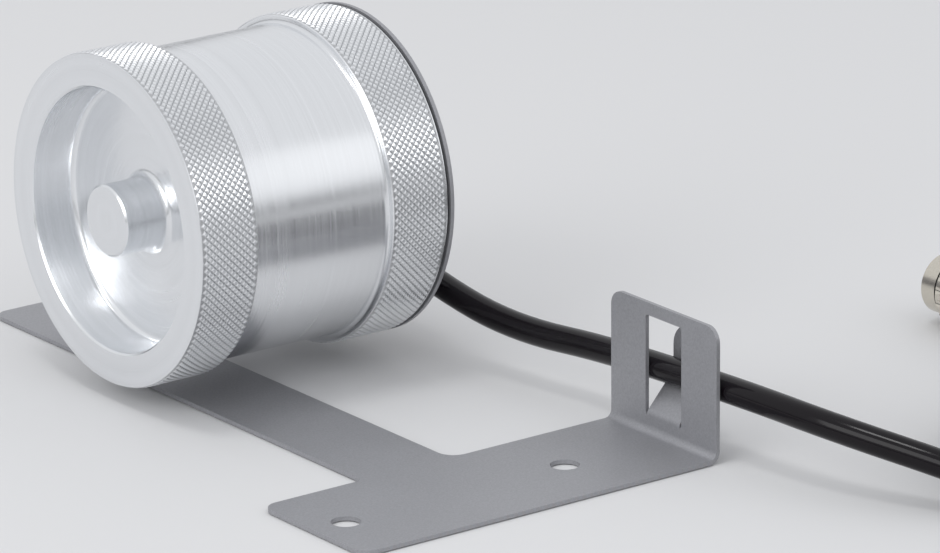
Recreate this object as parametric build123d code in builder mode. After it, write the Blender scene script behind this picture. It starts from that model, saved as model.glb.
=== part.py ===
"""Measuring wheel encoder on a spring arm, in millimetres.

Frame: the origin is midway between the two mounting holes, on the underside of the bracket sheet.
+X runs along the wheel's axis, from its open front face to the disc behind it.
+Y runs along the spring arm, from the mounting bar to the wheel. +Z is up.
"""
import os
from math import atan2, cos, degrees, pi, radians, sin, tan

from build123d import *

os.makedirs("parts", exist_ok=True)

# Bracket sheet: one piece of spring steel, drawn here on both sides of its flexing line
sheet = 0.8
bend_radius = 1.5
bar_depth = 31.0
bar_middle_y = 0.5
bar_left = 31.6
tab_x = 48.5
tab_top = 25.8
corner_radius = 3.0
hole_spacing = 49.0
hole_diameter = 5.5
arm_width = 19.5
arm_middle_x = 0.6
arm_end_y = 139.0
left_root_radius = 1.2
right_root_radius = 3.5
flex_root_margin = 0.5
flex_gap = 0.06
strip_width = 24.0
strip_root_radius = 5.0
foot_height = 24.0
foot_radius = 9.0
strip_back_angle = 50.0
strip_front_angle = -62.0

# Lanced clip in the upright tab
slot_width = 10.5
slot_bottom = 4.0
slot_top = 23.4
slot_corner_radius = 0.6
tongue_width = 9.5
tongue_top = 21.0
tongue_bend = 0.6
tongue_slope = 1.1
tongue_tip_radius = 4.4
tongue_clearance = 0.1
clip_play = 0.05

# Wheel with a circumference of 200 mm
wheel_radius = 100.0 / pi
wheel_width = 55.6
wheel_front = -19.0
wheel_sheet_gap = 2.6
axis_y = 83.0
ring_width = 12.5
ring_chamfer = 0.4
drum_radius = 30.05
drum_fillet = 0.9
wheel_wall = 2.45
recess_radius = 25.25
recess_depth = 9.5
recess_fillet = 1.5
recess_chamfer = 0.35
web = 3.5
boss_radius = 6.85
boss_fillet = 1.6

# Disc of the sheet behind the wheel
disc_radius = wheel_radius
disc_gap = 0.6
plate_screw_radius = 1.6
plate_screw_head_radius = 3.5
plate_screw_head = 2.4
plate_screw_head_rounding = 1.0
plate_screw_play = 0.3
plate_screw_tip = 1.2
plate_screw_floor = 0.8
cross_length = 2.4
cross_width = 0.7
cross_depth = 1.1

# Encoder housing inside the wheel
housing_clearance = 2.1
housing_wall = 2.2
housing_gap = 1.0
front_wall = 3.5
housing_edge_radius = 1.5
tube_root_radius = 1.0
housing_rib = 1.6
gasket = 0.4
cover = 4.6
cover_screw_radius = 1.25
cover_screw_head_radius = 2.4
cover_boss_radius = 3.2
cover_screw_length = 12.0
cover_screw_play = 0.2
cover_screw_tip_gap = 0.5
cover_screw_sink = 0.1
cover_boss_inset = 1.8
plate_screw_inset = 2.5
thread_clearance = 0.05

# Deep groove ball bearings, 10 x 26 x 8
bearing_bore = 5.0
bearing_outside = 13.0
bearing_width = 8.0
race_chamfer = 0.25
shoulder_step = 0.6
inner_land = 7.2
outer_land = 10.8
ball_circle = 9.0
ball_radius = 2.38
groove_clearance = 0.07
ball_count = 7
cage_width = 6.0
cage_thickness = 1.8
shield = 0.3
shield_gap = 0.15
bearing_front = -0.5
bearing_spacing = 4.0
fit_gap = 0.01

# Shaft seal: its case, its web and its lip
seal_front_gap = 0.2
seal_rear_gap = 0.3
seal_case = 1.3
seal_web_radius = 6.6
seal_front_radius = 6.2
seal_lip_play = 0.05
seal_lip_height = 0.6
seal_lip_start = 0.9
seal_lip_edge = 1.2
seal_lip_end = 1.7

# Shaft and what it carries
shaft_seat_radius = 4.0
shaft_seat_length = 10.3
collar_radius = 6.2
collar_width = 0.6
shaft_seat_gap = 0.2
shaft_chamfer = 0.4
shaft_groove = 0.5
shaft_stand = 0.4
sleeve_radius = 6.6
circlip = 0.9
circlip_groove = 0.75
circlip_height = 1.2
circlip_play = 0.05
circlip_gap = 2.2
circlip_lug_place = 1.9
circlip_lug_radius = 1.0
circlip_lug_hole = 0.45
housing_circlip_lugs = 11.6
shaft_circlip_lugs = 6.3
spring_washer_height = 1.4
spring_washer_sheet = 0.4
spring_washer_margin = 0.2
hub_length = 2.6
hub_radius = 7.0
hub_overlap = 1.0
disc_pilot = 1.0
grub_place = 1.1
grub_hole_radius = 0.8
grub_radius = 0.75
grub_sink = 0.1
code_disc_radius = 12.5
code_disc = 0.6
sensor_air_gap = 0.8
sensor_height = 1.0
sensor_length = 6.4
sensor_depth = 4.2
sensor_track = 2.6
board = 1.6
board_edge = 2.4
board_play = 0.25
board_bore_play = 1.5
board_hole_radius = 1.05
board_screw_radius = 0.8
board_screw_depth = 0.8
board_screw_head_radius = 1.8
board_screw_head = 1.2
wire_notch_depth = 2.0
wire_notch_width = 9.0
socket_y = 2.5
socket_z = -9.5
socket_length = 11.0
socket_depth = 4.4
socket_wall = 0.9
socket_end_wall = 0.7
socket_floor = 0.6
socket_cover_gap = 0.5
tube_lip = 1.4
post_radius = 1.45
post_edge = 0.15
post_hole_radius = 0.85

# Cable, its outlet on the back of the disc and the seal in it
cable_radius = 2.6
outlet_x = 45.2
mouth_y = 72.5
mouth_z = 15.7
outlet_tilt = 12.0
gland_length = 6.0
gland_flats = 9.0
gland_lip = 1.4
gland_seal_wall = 1.0
gland_seal_play = 0.05
gland_seal_end_gap = 0.1
gland_seal_grip = 0.02
cable_play = 0.12
outlet_length = 14.0
outlet_height = 10.0
outlet_flange = 2.0
outlet_ear = 6.5
outlet_wall = 4.2
outlet_corner_radius = 1.8
spigot_radius = 4.4
spigot_depth = 3.0
spigot_play = 0.3
spigot_fit = 0.1
outlet_screw_radius = 1.0
outlet_screw_play = 0.25
outlet_screw_fit = 0.2
outlet_screw_tip = 2.0
outlet_screw_floor = 1.4
outlet_screw_head_radius = 2.0
outlet_screw_head = 1.5
wire_bore_radius = 2.2

# Cable put away in a round coil, and the plug at its end
coil_outer_turn = 31.7
coil_layers = 4
coil_whole_turns = 7
coil_exit_angle = 8.0
lead_run_out = 12.5
tail_drop_run = 17.6
tail_drop_side = 3.7
tail_level_run = 35.8
tail_level_side = 4.1
cable_total = 1460.0
plug_axis_z = 7.3
relief_length = 12.0
relief_tip = 3.6
relief_radius = 4.7
relief_grooves = 3
relief_groove_width = 1.2
relief_groove_depth = 1.3
grip_length = 18.5
grip_radius = 6.1
grip_neck_radius = 4.9
grip_shoulder = 4.0
grip_step = 0.9
grip_step_length = 3.0
flute_count = 12
flute_radius = 0.7
flute_start = 5.5
flute_end = 4.5
nut_radius = 7.2
nut_length = 8.5
nut_play = 0.3
nut_chamfer = 0.5
nut_groove_count = 18
nut_groove_radius = 0.8
nut_groove_out = 0.35
thread_length = 5.5
thread_radius = 5.9
thread_chamfer = 0.6
seal_groove_width = 1.2
seal_groove_depth = 0.9
seal_ring_radius = 0.5
seal_ring_out = 0.35
seal_ring_play = 0.02
insert_radius = 4.3
insert_play = 0.1
insert_depth = 6.5
insert_floor = 1.6
insert_wall = 0.6
key_length = 1.0
key_width = 1.1
key_inset = 0.9
tube_length = 5.4
pin_radius = 0.4
pin_circle = 2.4
pin_count = 7
pin_start_angle = 26.0
pin_length = 4.6
pin_chamfer = 0.12

# Worked out from the sizes above
wheel_bore_radius = drum_radius - wheel_wall
housing_radius = wheel_bore_radius - housing_clearance
cover_screw_circle = housing_radius - cover_boss_radius - cover_boss_inset
plate_screw_circle = housing_radius - plate_screw_head_radius - plate_screw_inset
post_circle = bearing_outside + post_edge + post_radius
board_radius = post_circle + board_edge
hub_tube_radius = post_circle + post_radius + post_edge
axis_z = sheet + wheel_sheet_gap + wheel_radius
wheel_rear = wheel_front + wheel_width
plate_x = wheel_rear + disc_gap
plate_back = plate_x + sheet
floor_x = wheel_front + recess_depth
web_back = floor_x + web
housing_front = web_back + housing_gap
cover_front = plate_x - cover
housing_rear = cover_front - gasket
cavity_front = housing_front + front_wall
rear_bearing_front = bearing_front + bearing_width + bearing_spacing
rear_bearing_rear = rear_bearing_front + bearing_width
circlip_front = rear_bearing_rear + spring_washer_height
tube_rear = circlip_front + circlip + tube_lip
hub_front = tube_rear - hub_overlap
disc_front = hub_front + hub_length
board_front = disc_front + code_disc + sensor_air_gap + sensor_height
board_rear = board_front + board
tongue_inner_x = tab_x + 2 * cable_radius + tongue_clearance + clip_play
bar_back = bar_middle_y + bar_depth / 2
flex_line_y = bar_back + right_root_radius + flex_root_margin
arm_left = arm_middle_x - arm_width / 2
arm_right = arm_middle_x + arm_width / 2
strip_y = arm_end_y - strip_width
clip_x = tab_x + cable_radius + clip_play
axis_point = (0, axis_y, axis_z)
turning_axis = Axis(axis_point, (1, 0, 0))
# On this plane a point is (place along the wheel's axis, distance from it)
turning_plane = Plane(origin=axis_point, x_dir=(1, 0, 0), z_dir=(0, -1, 0))


def across_axis(x):
    """The plane across the wheel's axis at x, facing +X, with its first direction along +Y."""
    return Plane(origin=(x, axis_y, axis_z), x_dir=(0, 1, 0), z_dir=(1, 0, 0))


def disc_edge(turn):
    """The point (y, z) at this angle on the edge of the sheet's disc."""
    return (axis_y + disc_radius * cos(radians(turn)), axis_z + disc_radius * sin(radians(turn)))


def corners(sketch, *points):
    """The sketch's vertices nearest to the given points."""
    return [sketch.vertices().sort_by_distance(point)[0] for point in points]


def finish(piece, label):
    """Name a finished piece and write it."""
    piece.part.label = label
    export_step(piece.part, f"parts/{label}.step")


def turned(label, outline):
    """A piece turned about the wheel's axis from (x, radius) points."""
    with BuildPart() as piece:
        with BuildSketch(turning_plane):
            with BuildLine():
                Polyline(*outline, close=True)
            make_face()
        revolve(axis=turning_axis)
    finish(piece, label)


def ring(label, x_from, x_to, inside, outside):
    """A plain ring about the wheel's axis."""
    turned(label, [(x_from, inside), (x_to, inside), (x_to, outside), (x_from, outside)])


# Mounting bar with the upright tab and its lanced cable clip
tongue_lean = tongue_inner_x - tab_x + sheet
tongue_rise = tongue_slope * tongue_lean
with BuildPart() as bracket_base:
    with BuildSketch(Plane.XZ.offset(-bar_middle_y)):
        with BuildLine():
            FilletPolyline(
                (-bar_left, sheet / 2),
                (tab_x - sheet / 2, sheet / 2),
                (tab_x - sheet / 2, tab_top),
                radius=bend_radius + sheet / 2,
            )
        trace(line_width=sheet)
    extrude(amount=bar_depth / 2, both=True)
    bar_corners = bracket_base.edges().filter_by(Axis.Z).sort_by(Axis.X)[:2]
    tab_corners = bracket_base.edges().filter_by(Axis.X).group_by(Axis.Z)[-1]
    fillet([*bar_corners, *tab_corners], radius=corner_radius)
    with BuildSketch():
        with Locations((arm_middle_x, (bar_back + flex_line_y) / 2)):
            Rectangle(arm_width, flex_line_y - bar_back)
    extrude(amount=sheet)
    back_edges = bracket_base.edges().filter_by(Axis.Z).filter_by_position(
        Axis.Y, bar_back - 0.01, bar_back + 0.01
    )
    roots = back_edges.filter_by_position(Axis.X, arm_left - 0.01, arm_right + 0.01).sort_by(Axis.X)
    fillet(roots[0], radius=left_root_radius)
    fillet(roots[-1], radius=right_root_radius)
    with BuildSketch(Plane.XY.offset(sheet)):
        with Locations((-hole_spacing / 2, 0), (hole_spacing / 2, 0)):
            Circle(hole_diameter / 2)
    extrude(amount=-sheet, mode=Mode.SUBTRACT)
    with BuildSketch(Plane.YZ.offset(tab_x)):
        with Locations((bar_middle_y, (slot_bottom + slot_top) / 2)):
            RectangleRounded(slot_width, slot_top - slot_bottom, slot_corner_radius)
    extrude(amount=-sheet, mode=Mode.SUBTRACT)
    with BuildSketch(Plane.XZ.offset(-bar_middle_y)):
        with BuildLine():
            FilletPolyline(
                (tab_x - sheet / 2, slot_bottom - tongue_bend),
                (tab_x - sheet / 2, slot_bottom + tongue_bend),
                (tongue_inner_x + sheet / 2, slot_bottom + tongue_bend + tongue_rise),
                (tongue_inner_x + sheet / 2, tongue_top),
                radius=2 * tongue_bend,
            )
        trace(line_width=sheet)
    extrude(amount=tongue_width / 2, both=True)
    tongue_tips = bracket_base.edges().filter_by(Axis.X).filter_by_position(
        Axis.X, tongue_inner_x, tongue_inner_x + sheet
    ).filter_by_position(Axis.Z, tongue_top - 0.01, tongue_top + 0.01)
    fillet(tongue_tips, radius=tongue_tip_radius)
finish(bracket_base, "bracket_base")

# Spring arm: it passes under the wheel, turns behind it and stands up as the disc that carries the encoder
outlet_back = Plane(
    origin=(outlet_x, mouth_y, mouth_z),
    x_dir=(1, 0, 0),
    z_dir=(0, cos(radians(outlet_tilt)), sin(radians(outlet_tilt))),
)


def outlet_point(back, side=0.0, x=0.0):
    """A point of the cable outlet: back from its mouth, to the side of its axis, and along X."""
    tilt = radians(outlet_tilt)
    return (x, mouth_y + back * cos(tilt) - side * sin(tilt), mouth_z + back * sin(tilt) + side * cos(tilt))


window = outlet_point(gland_length + outlet_length / 2)
outlet_screws = [
    outlet_point(gland_length + share * outlet_length, outlet_height / 2 + outlet_ear / 2)
    for share in (0.22, 0.78)
]
plate_screw_angles = (45, 135, 225, 315)
plate_screws = [
    (plate_screw_circle * cos(radians(turn)), plate_screw_circle * sin(radians(turn)))
    for turn in plate_screw_angles
]
with BuildPart() as spring_arm:
    with BuildSketch() as flat:
        with BuildLine():
            Polyline(
                (arm_left, flex_line_y + flex_gap),
                (arm_right, flex_line_y + flex_gap),
                (arm_right, strip_y),
                (plate_back - bend_radius - sheet, strip_y),
                (plate_back - bend_radius - sheet, arm_end_y),
                (arm_left, arm_end_y),
                close=True,
            )
        make_face()
        fillet(corners(flat, (arm_left, arm_end_y)), radius=corner_radius)
        fillet(corners(flat, (arm_right, strip_y)), radius=strip_root_radius)
    extrude(amount=sheet)
    with BuildSketch(Plane.XZ.offset(-arm_end_y)):
        with BuildLine():
            FilletPolyline(
                (arm_right, sheet / 2),
                (plate_back - sheet / 2, sheet / 2),
                (plate_back - sheet / 2, bend_radius + 2 * sheet),
                radius=bend_radius + sheet / 2,
            )
        trace(line_width=sheet)
    extrude(amount=strip_width)
    with BuildSketch(Plane.YZ.offset(plate_x)) as upright:
        with Locations((axis_y, axis_z)):
            Circle(disc_radius)
        with BuildLine():
            Polyline(
                (strip_y, bend_radius + sheet),
                (arm_end_y, bend_radius + sheet),
                (arm_end_y, foot_height),
                disc_edge(strip_back_angle),
                (axis_y, axis_z),
                disc_edge(strip_front_angle),
                close=True,
            )
        make_face()
        fillet(corners(upright, (arm_end_y, foot_height)), radius=foot_radius)
        with Locations((window[1], window[2])):
            Circle(spigot_radius + spigot_play, mode=Mode.SUBTRACT)
        with Locations(*[(point[1], point[2]) for point in outlet_screws]):
            Circle(outlet_screw_radius + outlet_screw_play, mode=Mode.SUBTRACT)
        with Locations(*[(axis_y + y, axis_z + z) for y, z in plate_screws]):
            Circle(plate_screw_radius + plate_screw_play, mode=Mode.SUBTRACT)
    extrude(amount=sheet)
finish(spring_arm, "spring_arm")

# Measuring wheel: one turned cup with two running rings, a deep front recess and a boss for the shaft
shaft_seat_end = web_back - shaft_seat_length
with BuildPart() as measuring_wheel:
    with BuildSketch(turning_plane) as profile:
        with BuildLine():
            Polyline(
                (wheel_front, 0),
                (wheel_front, boss_radius),
                (floor_x, boss_radius),
                (floor_x, recess_radius),
                (wheel_front, recess_radius),
                (wheel_front, wheel_radius),
                (wheel_front + ring_width, wheel_radius),
                (wheel_front + ring_width, drum_radius),
                (wheel_rear - ring_width, drum_radius),
                (wheel_rear - ring_width, wheel_radius),
                (wheel_rear, wheel_radius),
                (wheel_rear, wheel_bore_radius),
                (web_back, wheel_bore_radius),
                (web_back, shaft_seat_radius),
                (shaft_seat_end, shaft_seat_radius),
                (shaft_seat_end, 0),
                close=True,
            )
        make_face()
        fillet(corners(profile, (floor_x, boss_radius)), radius=boss_fillet)
        fillet(
            corners(profile, (floor_x, recess_radius), (web_back, wheel_bore_radius)),
            radius=recess_fillet,
        )
        fillet(
            corners(
                profile, (wheel_front + ring_width, drum_radius), (wheel_rear - ring_width, drum_radius)
            ),
            radius=drum_fillet,
        )
        chamfer(
            corners(
                profile,
                (wheel_front, wheel_radius),
                (wheel_front + ring_width, wheel_radius),
                (wheel_rear - ring_width, wheel_radius),
                (wheel_rear, wheel_radius),
            ),
            length=ring_chamfer,
        )
        chamfer(
            corners(profile, (wheel_front, boss_radius), (wheel_front, recess_radius)),
            length=recess_chamfer,
        )
    revolve(axis=turning_axis)
finish(measuring_wheel, "measuring_wheel")

# Encoder housing: a cup with the bearing tube, open towards its cover
seat = bearing_outside + fit_gap
shoulder = outer_land + shoulder_step
cover_screw_angles = (90, 210, 330)
with BuildPart() as encoder_housing:
    with BuildSketch(turning_plane) as section:
        with BuildLine():
            Polyline(
                (housing_front, seat),
                (housing_front, housing_radius),
                (housing_rear, housing_radius),
                (housing_rear, housing_radius - housing_wall),
                (cavity_front, housing_radius - housing_wall),
                (cavity_front, hub_tube_radius),
                (tube_rear, hub_tube_radius),
                (tube_rear, seat),
                (circlip_front + circlip, seat),
                (circlip_front + circlip, seat + circlip_groove),
                (circlip_front, seat + circlip_groove),
                (circlip_front, seat),
                (rear_bearing_front, seat),
                (rear_bearing_front, shoulder),
                (bearing_front + bearing_width, shoulder),
                (bearing_front + bearing_width, seat),
                close=True,
            )
        make_face()
        fillet(corners(section, (housing_front, housing_radius)), radius=housing_edge_radius)
        fillet(corners(section, (cavity_front, hub_tube_radius)), radius=tube_root_radius)
    revolve(axis=turning_axis)
    with BuildSketch(across_axis(cavity_front)):
        with PolarLocations(cover_screw_circle, 3, start_angle=cover_screw_angles[0]):
            Circle(cover_boss_radius)
        with PolarLocations((hub_tube_radius + housing_radius) / 2, 3, start_angle=30):
            Rectangle(housing_radius - hub_tube_radius - housing_wall, housing_rib)
    extrude(amount=housing_rear - cavity_front)
    with BuildSketch(across_axis(housing_rear)):
        with PolarLocations(cover_screw_circle, 3, start_angle=cover_screw_angles[0]):
            Circle(cover_screw_radius + thread_clearance)
    extrude(amount=-cover_screw_length, mode=Mode.SUBTRACT)
finish(encoder_housing, "encoder_housing")

# Flat gasket under the cover, with a lobe round each cover screw
with BuildPart() as cover_gasket:
    with BuildSketch(across_axis(housing_rear)):
        Circle(housing_radius)
        Circle(housing_radius - housing_wall, mode=Mode.SUBTRACT)
        with PolarLocations(cover_screw_circle, 3, start_angle=cover_screw_angles[0]):
            Circle(cover_boss_radius)
        with PolarLocations(cover_screw_circle, 3, start_angle=cover_screw_angles[0]):
            Circle(cover_screw_radius + cover_screw_play, mode=Mode.SUBTRACT)
    extrude(amount=gasket)
finish(cover_gasket, "cover_gasket")

# Housing cover: the face that the disc of the sheet is screwed to
with BuildPart() as housing_cover:
    with BuildSketch(across_axis(cover_front)):
        Circle(housing_radius)
    extrude(amount=cover)
    with Locations(across_axis(plate_x)):
        with PolarLocations(cover_screw_circle, 3, start_angle=cover_screw_angles[0]):
            CounterSinkHole(
                cover_screw_radius + cover_screw_play, cover_screw_head_radius + cover_screw_play
            )
        with Locations(*plate_screws):
            Hole(plate_screw_radius + thread_clearance, depth=cover - plate_screw_floor)
        with Locations((window[1] - axis_y, window[2] - axis_z)):
            Hole(spigot_radius + spigot_fit)
        with Locations(*[(point[1] - axis_y, point[2] - axis_z) for point in outlet_screws]):
            Hole(outlet_screw_radius + thread_clearance, depth=cover - outlet_screw_floor)
finish(housing_cover, "housing_cover")

# Countersunk screws that close the cover, their heads flush with it
with BuildPart() as cover_screws:
    with BuildSketch(across_axis(plate_x - cover_screw_length + cover_screw_tip_gap)):
        with PolarLocations(cover_screw_circle, 3, start_angle=cover_screw_angles[0]):
            Circle(cover_screw_radius)
    extrude(amount=cover_screw_length - cover_screw_tip_gap - cover_screw_sink)
    head_depth = cover_screw_head_radius - cover_screw_radius
    with Locations(across_axis(plate_x - cover_screw_sink - head_depth / 2)):
        with PolarLocations(cover_screw_circle, 3, start_angle=cover_screw_angles[0]):
            Cone(cover_screw_radius, cover_screw_head_radius, head_depth)
finish(cover_screws, "cover_screws")

# Pan head screws that hold the housing to the disc
with BuildPart() as disc_screws:
    with BuildSketch(across_axis(plate_x - cover + plate_screw_tip)):
        with Locations(*plate_screws):
            Circle(plate_screw_radius)
    extrude(amount=cover - plate_screw_tip + sheet)
    with BuildSketch(across_axis(plate_back)):
        with Locations(*plate_screws):
            Circle(plate_screw_head_radius)
    extrude(amount=plate_screw_head)
    head_edges = disc_screws.edges().filter_by(GeomType.CIRCLE).group_by(Axis.X)[-1]
    fillet(head_edges, radius=plate_screw_head_rounding)
    with BuildSketch(across_axis(plate_back + plate_screw_head)):
        with Locations(*plate_screws):
            Rectangle(cross_length, cross_width)
            Rectangle(cross_width, cross_length)
    extrude(amount=-cross_depth, mode=Mode.SUBTRACT)
finish(disc_screws, "plate_screws")

# Shaft seal in the housing's front
seal_front = housing_front + seal_front_gap
seal_rear = bearing_front - seal_rear_gap
seal_case_inside = bearing_outside - seal_case
seal_web = housing_front + seal_case
turned(
    "shaft_seal",
    [
        (seal_front, bearing_outside),
        (seal_rear, bearing_outside),
        (seal_rear, seal_case_inside),
        (seal_web, seal_case_inside),
        (seal_web, seal_web_radius),
        (seal_rear - seal_lip_start, bearing_bore + seal_lip_height),
        (seal_rear - seal_lip_edge, bearing_bore + seal_lip_play),
        (seal_rear - seal_lip_end, bearing_bore + seal_lip_height),
        (seal_front, seal_front_radius),
    ],
)

# The two ball bearings: races, balls and cages
groove_radius = ball_radius + groove_clearance
for place, start in (("front", bearing_front), ("rear", rear_bearing_front)):
    middle = start + bearing_width / 2
    for race, low, high in (
        ("inner", bearing_bore + fit_gap, inner_land),
        ("outer", outer_land, bearing_outside),
    ):
        with BuildPart() as bearing_race:
            with BuildSketch(turning_plane) as race_section:
                with Locations((middle, (low + high) / 2)):
                    Rectangle(bearing_width, high - low)
                chamfer(race_section.vertices(), length=race_chamfer)
                with Locations((middle, ball_circle)):
                    Circle(groove_radius, mode=Mode.SUBTRACT)
            revolve(axis=turning_axis)
        finish(bearing_race, f"{place}_bearing_{race}_race")
    with BuildPart() as balls:
        with Locations(across_axis(middle)):
            with PolarLocations(ball_circle, ball_count):
                Sphere(ball_radius)
    finish(balls, f"{place}_bearing_balls")
    with BuildPart() as cage:
        with BuildSketch(across_axis(middle - cage_width / 2)):
            Circle(ball_circle + cage_thickness / 2)
            Circle(ball_circle - cage_thickness / 2, mode=Mode.SUBTRACT)
        extrude(amount=cage_width)
        with Locations(across_axis(middle)):
            with PolarLocations(ball_circle, ball_count):
                Cylinder(groove_radius, 3 * cage_thickness, rotation=(0, 90, 0), mode=Mode.SUBTRACT)
    finish(cage, f"{place}_bearing_cage")
    with BuildPart() as shields:
        for face in (start, start + bearing_width - shield):
            with BuildSketch(across_axis(face)):
                Circle(outer_land)
                Circle(inner_land + shield_gap, mode=Mode.SUBTRACT)
            extrude(amount=shield)
    finish(shields, f"{place}_bearing_shields")

# Sleeve between the inner races, spring washer that loads the rear bearing, and the two circlips
sleeve_front = bearing_front + bearing_width
ring("inner_race_sleeve", sleeve_front, rear_bearing_front, bearing_bore + fit_gap, sleeve_radius)
turned(
    "spring_washer",
    [
        (rear_bearing_rear, outer_land + 2 * spring_washer_margin),
        (rear_bearing_rear + spring_washer_sheet, outer_land + 2 * spring_washer_margin),
        (circlip_front, bearing_outside - spring_washer_margin),
        (circlip_front - spring_washer_sheet, bearing_outside - spring_washer_margin),
    ],
)


def circlip_ring(label, x, inside, outside, gap_side):
    """An open spring ring with its two lugs, on the side of the shaft or of the housing."""
    with BuildPart() as piece:
        with BuildSketch(across_axis(x)):
            Circle(outside)
            Circle(inside, mode=Mode.SUBTRACT)
            with Locations((0, (inside + outside) / 2)):
                Rectangle(circlip_gap, 2 * (outside - inside), mode=Mode.SUBTRACT)
            with Locations((-circlip_lug_place, gap_side), (circlip_lug_place, gap_side)):
                Circle(circlip_lug_radius)
                Circle(circlip_lug_hole, mode=Mode.SUBTRACT)
        extrude(amount=circlip)
    finish(piece, label)


circlip_ring(
    "housing_circlip",
    circlip_front,
    bearing_outside - circlip_height,
    seat + circlip_groove - circlip_play,
    housing_circlip_lugs,
)
circlip_ring(
    "shaft_circlip",
    rear_bearing_rear,
    bearing_bore - shaft_groove,
    bearing_bore + circlip_height,
    shaft_circlip_lugs,
)

# Encoder shaft: seated in the wheel's boss, running in the bearings
collar_front = bearing_front - collar_width
shaft_end = disc_front + code_disc + shaft_stand
shaft_start = shaft_seat_end + shaft_seat_gap
shaft_seat = shaft_seat_radius - fit_gap
with BuildPart() as encoder_shaft:
    with BuildSketch(turning_plane) as shaft_section:
        with BuildLine():
            Polyline(
                (shaft_start, 0),
                (shaft_start, shaft_seat),
                (web_back, shaft_seat),
                (web_back, bearing_bore),
                (collar_front, bearing_bore),
                (collar_front, collar_radius),
                (bearing_front, collar_radius),
                (bearing_front, bearing_bore),
                (rear_bearing_rear, bearing_bore),
                (rear_bearing_rear, bearing_bore - shaft_groove - fit_gap),
                (rear_bearing_rear + circlip, bearing_bore - shaft_groove - fit_gap),
                (rear_bearing_rear + circlip, bearing_bore),
                (hub_front, bearing_bore),
                (hub_front, shaft_seat_radius),
                (shaft_end, shaft_seat_radius),
                (shaft_end, 0),
                close=True,
            )
        make_face()
        chamfer(
            corners(shaft_section, (shaft_start, shaft_seat), (shaft_end, shaft_seat_radius)),
            length=shaft_chamfer,
        )
    revolve(axis=turning_axis)
finish(encoder_shaft, "encoder_shaft")

# Code disc on its hub, with the grub screw that holds the hub to the shaft
grub_x = hub_front + grub_place
grub_middle_z = axis_z + (hub_radius + shaft_seat_radius) / 2
pilot_radius = shaft_seat_radius + disc_pilot
with BuildPart() as code_disc_hub:
    with BuildSketch(turning_plane) as hub_section:
        with BuildLine():
            Polyline(
                (hub_front, shaft_seat_radius + fit_gap),
                (hub_front, hub_radius),
                (disc_front, hub_radius),
                (disc_front, pilot_radius),
                (disc_front + code_disc, pilot_radius),
                (disc_front + code_disc, shaft_seat_radius + fit_gap),
                close=True,
            )
        make_face()
    revolve(axis=turning_axis)
    with Locations(Location((grub_x, axis_y, grub_middle_z))):
        Cylinder(grub_hole_radius, 2 * hub_radius - 2 * shaft_seat_radius, mode=Mode.SUBTRACT)
finish(code_disc_hub, "code_disc_hub")
with BuildPart() as hub_grub_screw:
    with Locations(Location((grub_x, axis_y, grub_middle_z + grub_sink))):
        Cylinder(grub_radius, hub_radius - shaft_seat_radius - 2.5 * grub_sink)
finish(hub_grub_screw, "hub_grub_screw")
ring("code_disc", disc_front, disc_front + code_disc, pilot_radius + fit_gap, code_disc_radius)

# Board with the optical sensor, on three posts that stand on the bearing tube
post_angles = (30, 150, 270)
post_places = [(post_circle * cos(radians(turn)), post_circle * sin(radians(turn))) for turn in post_angles]
with BuildPart() as board_posts:
    with BuildSketch(across_axis(tube_rear)):
        with Locations(*post_places):
            RegularPolygon(post_radius, 6)
            Circle(post_hole_radius, mode=Mode.SUBTRACT)
    extrude(amount=board_front - tube_rear)
finish(board_posts, "board_posts")
with BuildPart() as sensor_board:
    with BuildSketch(across_axis(board_front)):
        Circle(board_radius)
        Circle(shaft_seat_radius + board_bore_play, mode=Mode.SUBTRACT)
        with Locations(*post_places):
            Circle(board_hole_radius, mode=Mode.SUBTRACT)
        with Locations((-board_radius, 0)):
            Rectangle(2 * wire_notch_depth, wire_notch_width, mode=Mode.SUBTRACT)
        with PolarLocations(cover_screw_circle, 3, start_angle=cover_screw_angles[0]):
            Circle(cover_boss_radius + board_play, mode=Mode.SUBTRACT)
    extrude(amount=board)
finish(sensor_board, "sensor_board")
with BuildPart() as optical_sensor:
    with BuildSketch(across_axis(board_front)):
        with Locations((0, code_disc_radius - sensor_track)):
            Rectangle(sensor_length, sensor_depth)
    extrude(amount=-sensor_height)
finish(optical_sensor, "optical_sensor")
with BuildPart() as board_socket:
    with BuildSketch(across_axis(board_rear)):
        with Locations((socket_y, socket_z)):
            Rectangle(socket_length, socket_depth)
            Rectangle(
                socket_length - 2 * socket_end_wall, socket_depth - 2 * socket_wall, mode=Mode.SUBTRACT
            )
    extrude(amount=housing_rear - board_rear - socket_cover_gap)
    with BuildSketch(across_axis(board_rear)):
        with Locations((socket_y, socket_z)):
            Rectangle(socket_length, socket_depth)
    extrude(amount=socket_floor)
finish(board_socket, "board_socket")
with BuildPart() as board_screws:
    with BuildSketch(across_axis(tube_rear + board_screw_depth)):
        with Locations(*post_places):
            Circle(board_screw_radius)
    extrude(amount=board_rear - tube_rear - board_screw_depth)
    with BuildSketch(across_axis(board_rear)):
        with Locations(*post_places):
            Circle(board_screw_head_radius)
    extrude(amount=board_screw_head)
finish(board_screws, "board_screws")

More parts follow.
